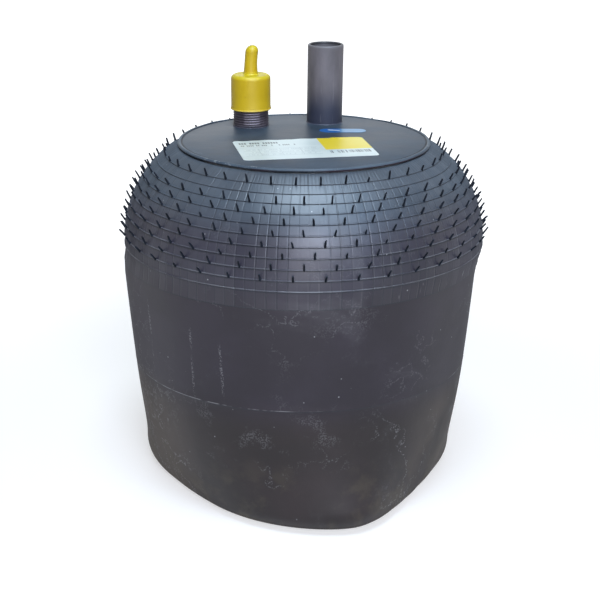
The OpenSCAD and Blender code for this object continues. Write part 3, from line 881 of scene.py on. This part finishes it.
def coverRubber(wrap):
    looks = coverLooks
    chalkAndHighlight, dark = looks["chalkAndHighlight"], looks["dark"]
    turns, along, place = wrap
    edge, seam = outerMark(bellows["zoneEdge"]), outerMark(bellows["seam"][1])
    row = (along - ridgeMark(1)) / bellows["ridgePitch"]  # 0 on the first raised line, 10 on the last
    domed = fall(along, edge - 0.0002, edge + 0.0003)
    foot = fade(along, seam - 0.012, seam + 0.03)
    cloud = clouds(place, 13, 0.55)
    standing = mix(foot, mix(cloud, *looks["wall"]), mix(cloud, *looks["foot"]))
    # upper rows lighter and teal, partly painted sky reflection; lower rows purple-grey
    lined = mix(fade(row, 2.0, 6.5), mix(cloud, *looks["shoulder"]), mix(cloud, *looks["lowerRows"]))
    sunk = fade(row, 8.0, 11.5)  # the lowest lines share the wall's colour
    colour = mix(domed, standing, mix(sunk * 0.75, lined, standing))
    # painted sheen: a pale warm grey on the left and right sides of the foot, where the light grazes
    flankSheen = fade(place.math("ABSOLUTE", parts(place)[0]), 0.085, 0.14) * patch(place, 12, 2, 0.3, 0.6)
    colour = coats(colour, (flankSheen * foot, 0.5, looks["flankSheenTone"]))
    # fine lines up and down the dome, three to each whisker, and uneven strips between them; each line is a
    # dark groove of painted shade, and some have a painted highlight on one edge (lit)
    strips = turns * looks["lines"]
    chance = place.node("TexWhiteNoise", {"W": place.math("FLOOR", strips)}, noise_dimensions="1D")
    near = offMiddle(strips)
    wander = patch(stretch(place, 1, 1, 0.25), 55, 2, 0.32, 0.6) * domed
    hairline = line(near, 0.0, 0.03, 0.08) * wander
    lit = line(near, -0.12, 0.03, 0.07) * wander * fade(row, 3.5, 7.0) * fade(chance, 0.35, 0.9)
    lit = lit * patch(place, 6, 2, 0.42, 0.6)
    colour = coats(colour, (chance * domed, 0.045, chalkAndHighlight), (hairline, 0.42, dark), (lit, 0.16, chalkAndHighlight))
    # cords that show through just under the rim
    cords = line(offMiddle(turns * looks["cords"]), 0.0, 0.05, 0.22) * fall(row, -0.6, 1.6)
    cords = cords * patch(place, 20, 2, 0.38, 0.58)
    colour = coats(colour, (cords, 0.34, dark))
    # each raised line: dark below, a painted shadow, and further down the dome pale on its crest, a painted
    # highlight
    across = offMiddle(row)
    rows = fade(row, -0.5, -0.45) * fall(row, 10.45, 10.5)
    uneven = patch(place, 34, 3, 0.3, 0.6)
    crest = line(across, -0.05, 0.02, 0.03) * rows * fade(row, 2.5, 9.0)
    under = line(across, 0.06, 0.015, 0.035) * rows
    below = line(across, 0.11, 0.035, 0.04) * rows * fade(row, 3.0, 7.5)
    colour = coats(colour, (under, uneven * 0.2 + 0.4, dark), (below, 0.8, dark), (crest * uneven, 0.2, chalkAndHighlight))
    # short pale dashes between the last line and the edge, and a dark line of painted shadow under the edge's
    # step
    dash = patch(stretch(place, 1, 1, 0.12), 300, 1, 0.70, 0.78) * fade(row, 10.2, 10.5)
    dash = dash * fall(along, edge - 0.006, edge - 0.002)
    colour = coats(colour, (dash, 0.4, chalkAndHighlight), (line(along, edge + 0.0003, 0.0003, 0.0005), 0.75, dark))
    # the seam: a pale broken thread with a dark line below, a painted shadow
    broken = patch(place, 15, 3, 0.42, 0.56) * patch(place, 90, 2, 0.4, 0.56)
    colour = coats(
        colour,
        (line(along, seam + 0.0008, 0.0003, 0.0006), 0.4, dark),
        (line(along, seam, 0.0002, 0.0004) * broken, 0.42, chalkAndHighlight),
    )
    # wear: chalky rubs, runs, trails, patches, soil low down and specks of dust
    rub = patch(place, 10, 4, 0.54, 0.72, 0.6, 0.5)
    grain = patch(place, 260, 4, 0.52, 0.64, 0.75)
    dots = patch(place, 720, 1, 0.47, 0.6)
    wavy = turns + noise(place, 40, 2) * 0.006
    runs = sum(line(wavy, spot, 0.0005, 0.0012) for spot in looks["runs"]) * dots
    runs = runs * patch(place, 34, 2, 0.4, 0.55)
    runs = runs * fade(along, edge + 0.008, edge + 0.03) * fall(along, seam - 0.02, seam + 0.01)
    trails = line(noise(place, 26, 3, 0.62), 0.5, 0.004, 0.016) * patch(place, 11, 2, 0.46, 0.58)
    patches = patch(place, 34, 3, 0.56, 0.68, 0.6) * patch(place, 8, 1, 0.42, 0.6)
    specks = fall(cells(place, 80.0), 0.03, 0.065) * patch(place, 17, 2, 0.42, 0.55)
    worn = foot * 0.65 + 0.35 - domed * 0.2
    soil = fade(along, seam + 0.03, seam + 0.11) * patch(place, 28, 4, 0.48, 0.66, 0.6)
    colour = coats(
        colour,
        (rub, 0.06, chalkAndHighlight),
        (rub * grain * worn, 0.3, chalkAndHighlight),
        (runs, 0.32, chalkAndHighlight),
        ((trails * 0.42 + patches * 0.17) * dots, worn, chalkAndHighlight),
        (soil, 0.4, looks["soil"]),
        (specks, 0.55, looks["speck"]),
    )
    height = noise(place, 420, 3, 0.6) * 0.00005 - hairline * 0.00018 - cords * 0.0001
    height = height + noise(place, 40, 3) * 0.0002
    facing = place.node("LayerWeight", {"Blend": 0.5}, "Facing")
    dull = fade(facing, 0.3, 0.9) * ((1.0 - sunk) * 0.2 + 0.36)  # dusty, so dull at a low angle
    return surface(colour, 0.34 + rub * 0.1 + noise(place, 60, 2) * 0.08 + dull, height)


def cordRubber(slant):  # cords lie side by side, slanted one way in each ply
    around = 420

    def build(wrap):
        turns, along, place = wrap
        thread = turns.math("SINE", turns * (2 * math.pi * around) + along * slant)
        cloud = noise(place, 50, 3)
        colour = mix(fade(thread, -0.2, 0.9), (70, 64, 56), (150, 138, 116))
        return surface(coats(colour, (cloud, 0.4, (80, 72, 62))), 0.62 + cloud * 0.1, thread * 0.0001)
    return build


def spewRubber(place):
    cloud = noise(place, 160, 3)
    colour = mix(fade(cloud, 0.35, 0.65), (13, 18, 26), (25, 31, 41))
    return surface(colour, 0.42 + cloud * 0.2, noise(place, 900, 2) * 0.0001)


# finishes of the metal, plastic and film

def polar(place):
    x, y, z = parts(place)
    return place.math("SQRT", x * x + y * y), place.math("ARCTAN2", y, x), z


def aboutAxis(place, x, y):  # place, measured from an upright axis
    return place.node("Mapping", {"Vector": place, "Location": (-x, -y, 0)}, vector_type="POINT")


def platePaint(place):
    out, turn, z = polar(place)
    cloud = patch(place, 16, 5, 0.3, 0.7, 0.6, 0.4)
    fine = noise(place, 320, 3, 0.6)
    scuff = patch(place, 70, 4, 0.62, 0.72, 0.7) * patch(place, 13, 2, 0.5, 0.6)
    rim = fade(out, 0.1112, 0.1116)
    chips = patch(place, 170, 4, 0.56, 0.66, 0.7) * patch(place, 22, 2, 0.46, 0.6)
    below = rim * fall(z, deck - 0.0018, deck - 0.0010)
    colour = coats(
        mix(cloud, (42, 53, 65), (60, 73, 86)),
        (fade(fine, 0.45, 0.7), 0.25, (44, 53, 62)),
        (scuff, 0.25, (160, 168, 172)),
        # painted shade: a dark line in the crease inside the rolled edge
        (line(out, 0.1103, 0.0005, 0.0005), 0.85, (26, 31, 38)),
        # painted highlight: the rolled edge is lighter where it catches the light; the pale chips on it are
        # wear
        (rim, 0.8, mix(cloud, (62, 73, 85), (84, 96, 107))),
        (rim * chips, 0.4, (176, 182, 184)),
        # painted shade: the underside of the rolled edge is dark, with reddish patches in it
        (below, 0.85, (30, 34, 42)),
        (below * patch(place, 20, 3, 0.42, 0.56), 0.3, (92, 54, 60)),
    )
    return surface(colour, 0.42 + cloud * 0.08 + scuff * 0.15, fine * 0.00008 + noise(place, 30, 3) * 0.0006)


def nippleSteel(place):  # pale on the crests that face the front: a painted highlight
    out, turn, z = polar(aboutAxis(place, *inletAt))
    crest = fade(out, 0.01635, 0.01656) * fade(z, deck + 0.0025, deck + 0.0032) * line(turn, -1.48, 0.35, 0.2)
    cloud = clouds(place, 90)
    colour = coats(
        mix(cloud, (52, 46, 53), (67, 60, 68)),
        (crest, 0.6, (158, 148, 158)),
        (fall(z, deck + 0.0006, deck + 0.0028), 0.6, (52, 54, 66)),
    )
    return surface(colour, 0.5 + cloud * 0.15, noise(place, 700, 3) * 0.00006, Metallic=crest * 0.4)


def capPlastic(place):
    z = parts(place)[2]
    cloud = patch(place, 40, 3, 0.3, 0.7, 0.5)
    # painted highlight: lighter lemon on the rounded top and on the finger's tip
    top = between(z, 0.3660, 0.3705, 0.0015) + fade(z, 0.3890, 0.3945)
    colour = coats(
        mix(cloud, (184, 155, 2), (194, 165, 12)),
        (top, 0.6, (206, 192, 14)),
        (fall(z, cap["lipAt"] + 0.0007, cap["lipAt"] + 0.0015), 0.6, (206, 184, 84)),
        (patch(place, 130, 4, 0.6, 0.75, 0.7), 0.18, (120, 96, 30)),
    )
    return surface(colour, 0.44 + cloud * 0.1, noise(place, 260, 3) * 0.00012)


def tubePaint(place):
    z = parts(place)[2]
    x, y = tube["place"]
    inside = fall(polar(aboutAxis(place, x + tube["lean"], y))[0], 0.0146, 0.0153)
    cloud = patch(stretch(place, 1, 1, 0.35), 60, 4, 0.3, 0.7, 0.6)
    colour = coats(
        mix(cloud, (90, 87, 91), (106, 102, 107)),
        # darker and navy towards the bottom: painted reflection of the plate
        (fall(z, deck + 0.01, deck + 0.04), 0.9, (38, 44, 62)),
        # painted highlight: the rounded rim at the top is lighter
        (fade(z, tube["top"] - 0.0025, tube["top"] - 0.0012), 0.4, (112, 112, 114)),
        # inside the bore: painted shade near the top and painted light deeper down
        (inside, 0.9, mix(fade(z, 0.3905, 0.3925), (96, 95, 99), (34, 34, 38))),
        (patch(stretch(place, 1, 1, 0.08), 420, 2, 0.66, 0.74), 0.2, (150, 150, 152)),
    )
    return surface(colour, 0.45 + cloud * 0.1, noise(place, 380, 3) * 0.00008)


def box(x, y, left, right, low, high, soft):  # 1 inside a rectangle
    return between(x, left, right, soft) * between(y, low, high, soft)


printMarks = {  # metres from the label's middle; they stand for print and form no letters
    "ink": (58, 66, 72),
    "rule": (158, 170, 172),
    "headings": (  # left, right, middle, height, pitch, level, seed and share
        (-0.055, -0.020, 0.0258, 0.0058, 0.0024, 0.40, 1.3, 0.8),
        (-0.055, -0.004, 0.0170, 0.0046, 0.0017, 0.40, 7.1, 0.7),
    ),
    "rows": ((0.0005, 2.2), (-0.0085, 5.7), (-0.0175, 9.4)),  # middle and seed
    "across": ((-0.026, 0.0100), (0.012, 0.0050), (0.012, -0.0040), (0.012, -0.0130), (0.012, -0.0220)),
    "upright": (-0.041, -0.022, -0.004),
    "block": (0.0175, 0.0600, -0.0080, 0.0400),
    "code": (0.0190, 0.0560, -0.0215, -0.0120),
}


def labelPrint(place):
    marks = printMarks
    shifted = place.node("VectorMath", {0: place, 1: (*label["place"][:2], 0.0)}, operation="SUBTRACT")
    turned = {"Vector": shifted, "Angle": -math.radians(label["turn"])}
    x, y = parts(place.node("VectorRotate", turned, rotation_type="Z_AXIS"))[:2]
    cloud = noise(place, 30, 3)
    colour = mix(fade(cloud, 0.35, 0.65), (194, 206, 204), (206, 216, 213))

    def filled(pitch, shuffle, seed, row, scale, level):  # 1 in some of the cells along x
        cell = place.math("FLOOR", x / pitch) * shuffle + seed
        at = place.node("CombineXYZ", {0: cell, 1: row, 2: 0.0})
        return place.math("GREATER_THAN", noise(at, scale, 0.0), level)

    def bars(left, right, middle, tall, pitch, level, seed, share):
        some = filled(pitch, 0.37, seed, middle * 31, 5.0, level)
        inCell = place.math("LESS_THAN", place.math("FRACT", x / pitch), 0.72)
        return box(x, y, left, right, middle - tall / 2, middle + tall / 2, 0.00012) * some * inCell, share

    for row in marks["headings"]:
        colour = coats(colour, (*bars(*row), marks["ink"]))
    for right, middle in marks["across"]:
        stroke = box(x, y, -0.055, right, middle - 0.0004, middle + 0.0004, 0.0002)
        colour = coats(colour, (stroke, 0.7, marks["rule"]))
    for middle, seed in marks["rows"]:
        row = (-0.052, 0.010, middle, 0.0034, 0.0015, 0.45, seed, 0.5)
        colour = coats(colour, (*bars(*row), marks["rule"]))
    for middle in marks["upright"]:
        stroke = box(x, y, middle - 0.0003, middle + 0.0003, -0.0220, 0.0050, 0.0002)
        colour = coats(colour, (stroke, 0.6, marks["rule"]))
    yellow = mix(fade(x, 0.036, 0.058) * 0.5, (223, 199, 5), (220, 209, 92))
    colour = mix(box(x, y, *marks["block"], 0.0003), colour, yellow)
    code = box(x, y, *marks["code"], 0.0002) * filled(0.0006, 0.61, 0.0, 0.4, 3.0, 0.5)
    colour = coats(colour, (code, 0.85, marks["ink"]))
    return surface(colour, 0.34 + cloud * 0.12, noise(place, 130, 2) * 0.0001)


def stripPrint(place):
    x, y = parts(place)[:2]
    pale = noise(place, 60, 3)
    colour = mix(fade(pale, 0.4, 0.6), (44, 118, 165), (66, 136, 178))
    colour = mix(fall(x, 0.031, 0.036), colour, (4, 92, 166))
    # painted highlight: a slanted white patch on the blue end
    white = box(x, y + (x - 0.0275) * 0.25, 0.0225, 0.0335, 0.0375, 0.0410, 0.0008)
    colour = coats(colour, (white, 0.9, (204, 216, 230)))
    return surface(colour, 0.3 + pale * 0.1, noise(place, 150, 2) * 0.00008)


def plain(place, scale, shades, dull, grain, *layers, **more):  # two shades in clouds, and layers over them
    cloud = clouds(place, scale)
    height = noise(place, *grain[:2]) * grain[2]
    return surface(coats(mix(cloud, *shades), *layers), dull[0] + cloud * dull[1], height, **more)


def plainRubber(wrap):
    return plain(wrap[2], 40, ((40, 40, 44), (56, 56, 60)), (0.5, 0.12), (500, 3, 0.00008))


def blackPaint(place):
    wear = patch(place, 120, 5, 0.62, 0.72, 0.7), 0.3, (120, 120, 118)
    return plain(place, 24, ((38, 40, 44), (54, 57, 62)), (0.4, 0.14), (500, 3, 0.00006), wear)


def zincSteel(place):
    shades = (150, 154, 158), (188, 190, 190)
    spangle = fade(cells(place, 420.0), 0.1, 0.6), 0.3, (128, 134, 142)
    return plain(place, 45, shades, (0.34, 0.14), (600, 3, 0.00004), spangle, Metallic=0.85)


def wireSteel(place):
    shades = (176, 128, 84), (206, 168, 118)
    return plain(place, 80, shades, (0.3, 0.15), (500, 2, 0.00005), Metallic=0.9)


def bumperRubber(place):
    bloom = patch(place, 24, 3, 0.55, 0.7, 0.6), 0.3, (104, 102, 100)
    return plain(place, 60, ((32, 32, 34), (46, 46, 48)), (0.56, 0.1), (420, 3, 0.0001), bloom)


finishes = {
    "cover": material("coverRubber", coverRubber, 0.46, wrapPlace),
    "outerPly": material("outerPlyCords", cordRubber(900), place=wrapPlace),
    "innerPly": material("innerPlyCords", cordRubber(-900), place=wrapPlace),
    "liner": material("linerRubber", plainRubber, place=wrapPlace),
    "spew": material("spewRubber", spewRubber, 0.12),
    "plate": material("platePaint", platePaint, 0.14),
    "nipple": material("nippleSteel", nippleSteel, 0.3),
    "cap": material("capPlastic", capPlastic, 0.36),
    "tube": material("tubePaint", tubePaint, 0.3),
    "label": material("labelPrint", labelPrint),
    "strip": material("stripPrint", stripPrint),
    "black": material("blackPaint", blackPaint),
    "zinc": material("zincSteel", zincSteel),
    "wire": material("wireSteel", wireSteel),
    "bumper": material("bumperRubber", bumperRubber),
}
print("finishes made")


# dressing: each new piece takes its node's place; the pieces on the plate and the cap also ride on their bodies

rollMoves = {  # the lobe's lowest line moves by about 45% of the travel in both halves; the loop below reads these moves but applies none
    "wall": ((0, 0, -0.200), (0, 0, 0.232)),
    "roll": ((0, 0, 0.190), (0, 0, -0.2164)),
}


def dress(piece, finish, node, slotName):
    paint(piece, finishes[finish])
    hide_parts(node)


for layer, node, slotName in (
    ("cover", "bellows_cover", "bellows_rubber"),
    ("outerPly", "outer_cord_ply", "cord_rubber"),
    ("innerPly", "inner_cord_ply", "cord_rubber"),
    ("liner", "inner_liner", "liner_rubber"),
):
    for half, moves in rollMoves.items():
        piece = rubber[layer, half]
        dress(piece, layer, node, slotName)
        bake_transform(piece)

for piece, finish, node, slotName, body in (
    (whiskers, "spew", "vent_spews", "spew_rubber", "chassis_side"),
    (plateSheet, "plate", "bead_plate", "plate_paint", "chassis_side"),
    (nipple, "nipple", "inlet_nipple", "nipple_steel", "chassis_side"),
    (tubePiece, "tube", "guide_tube", "tube_paint", "chassis_side"),
    (labelFilm, "label", "info_label", "label_film", "chassis_side"),
    (stripFilm, "strip", "blue_strip", "strip_film", "chassis_side"),
    (capPiece, "cap", "thread_cap", "cap_plastic", "pull_cap"),
):
    dress(piece, finish, node, slotName)
    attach(piece, body)

for finish, names in {
    "black": ("piston", "piston_base"),
    "zinc": ("base_bushes", "end_closure", "bumper_washer", "piston_bolt", "piston_nut", "clamp_ring"),
    "wire": ("lower_bead_wire", "upper_bead_wire"),
    "bumper": ("bumper",),
}.items():
    for name in names:
        paint(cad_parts[name], finishes[finish])
print("pieces dressed")


# floor, world and lamps

studio = {
    "floor": (16.0, 3.0),  # size, and how far its middle is behind the spring
    "world": 0.17,
    "mirrored": 0.78,  # share of the white surroundings that gloss shows
    "lamps": (  # name, place, size, watts, colour
        ("high", (0.06, -0.8, 2.6), 1.0, 45, (0.74, 0.88, 1.0)),
        ("sheen", (0.16, -0.62, 2.4), 1.9, 62, (0.60, 0.80, 1.0)),
        ("glint", (1.0, -2.1, 1.9), 2.0, 52, (0.52, 0.74, 1.0)),
        ("key", (0.36, -2.7, 1.6), 1.2, 70, (0.82, 0.85, 1.0)),
        ("low", (0.03, -0.95, 0.24), 0.25, 1.2, (0.97, 0.96, 1.0)),
        ("left", (-2.3, 0.2, 1.0), 1.4, 1.0, (1.0, 0.90, 0.76)),
        ("right", (2.3, 0.2, 1.0), 1.4, 3, (1.0, 0.96, 0.88)),
        ("back", (-0.2, 2.2, 1.1), 1.6, 6, (0.90, 0.95, 1.0)),
    ),
    "glossOnly": ("sheen", "glint"),
    "aim": (0, 0, 0.2),
}


def emptied(owner):
    owner.use_nodes = True
    owner.node_tree.nodes.clear()
    return Flow(owner.node_tree)


def output(flow, kind, shader):
    feed(flow.tree, flow.tree.nodes.new("ShaderNodeOutput" + kind), {"Surface": shader})


def whiteView(flow):  # what camera, gloss and glass see
    kinds = ("Camera", "Glossy", "Transmission")
    path, gloss, clear = (flow.node("LightPath", out=f"Is {kind} Ray") for kind in kinds)
    return flow.math("MAXIMUM", path, flow.math("MAXIMUM", gloss * studio["mirrored"], clear))


def setWorld():
    world = bpy.data.worlds.new("studio")
    flow = emptied(world)
    soft = flow.node("Background", {"Color": tone(236, 242, 248), "Strength": studio["world"]})
    white = flow.node("Background", {"Color": (1, 1, 1, 1), "Strength": 1.0})
    output(flow, "World", flow.node("MixShader", {0: whiteView(flow), 1: soft, 2: white}))
    bpy.context.scene.world = world


def layFloor():
    size, behind = studio["floor"]
    bpy.ops.mesh.primitive_plane_add(size=size, location=(0, behind, 0))
    floor = settle(bpy.context.object)
    floor.name = "floor"
    made = bpy.data.materials.new("paleFloor")
    flow = emptied(made)
    matt = flow.node("BsdfDiffuse", {"Color": (0.5, 0.5, 0.5, 1.0)})
    shine = whiteView(flow) * (fade(polar(objectPlace(flow))[0], 0.30, 1.1) * 0.45 + 0.55)
    glow = flow.node("Emission", {"Color": (1, 1, 1, 1), "Strength": shine})
    output(flow, "Material", flow.node("AddShader", {0: matt, 1: glow}))
    paint(floor, made)


def hangLamps():
    for name, place, size, watts, colour in studio["lamps"]:
        bpy.ops.object.light_add(type="AREA", location=place)
        lamp = bpy.context.object
        lamp.name = name
        lamp.data.shape = "DISK"
        lamp.data.size = size
        lamp.data.energy = watts
        lamp.data.color = colour
        lamp.visible_diffuse = name not in studio["glossOnly"]
        lamp.rotation_euler = (Vector(studio["aim"]) - Vector(place)).to_track_quat("-Z", "Y").to_euler()


setWorld()
layFloor()
hangLamps()
bpy.context.scene.view_settings.view_transform = "Standard"
print("studio set")
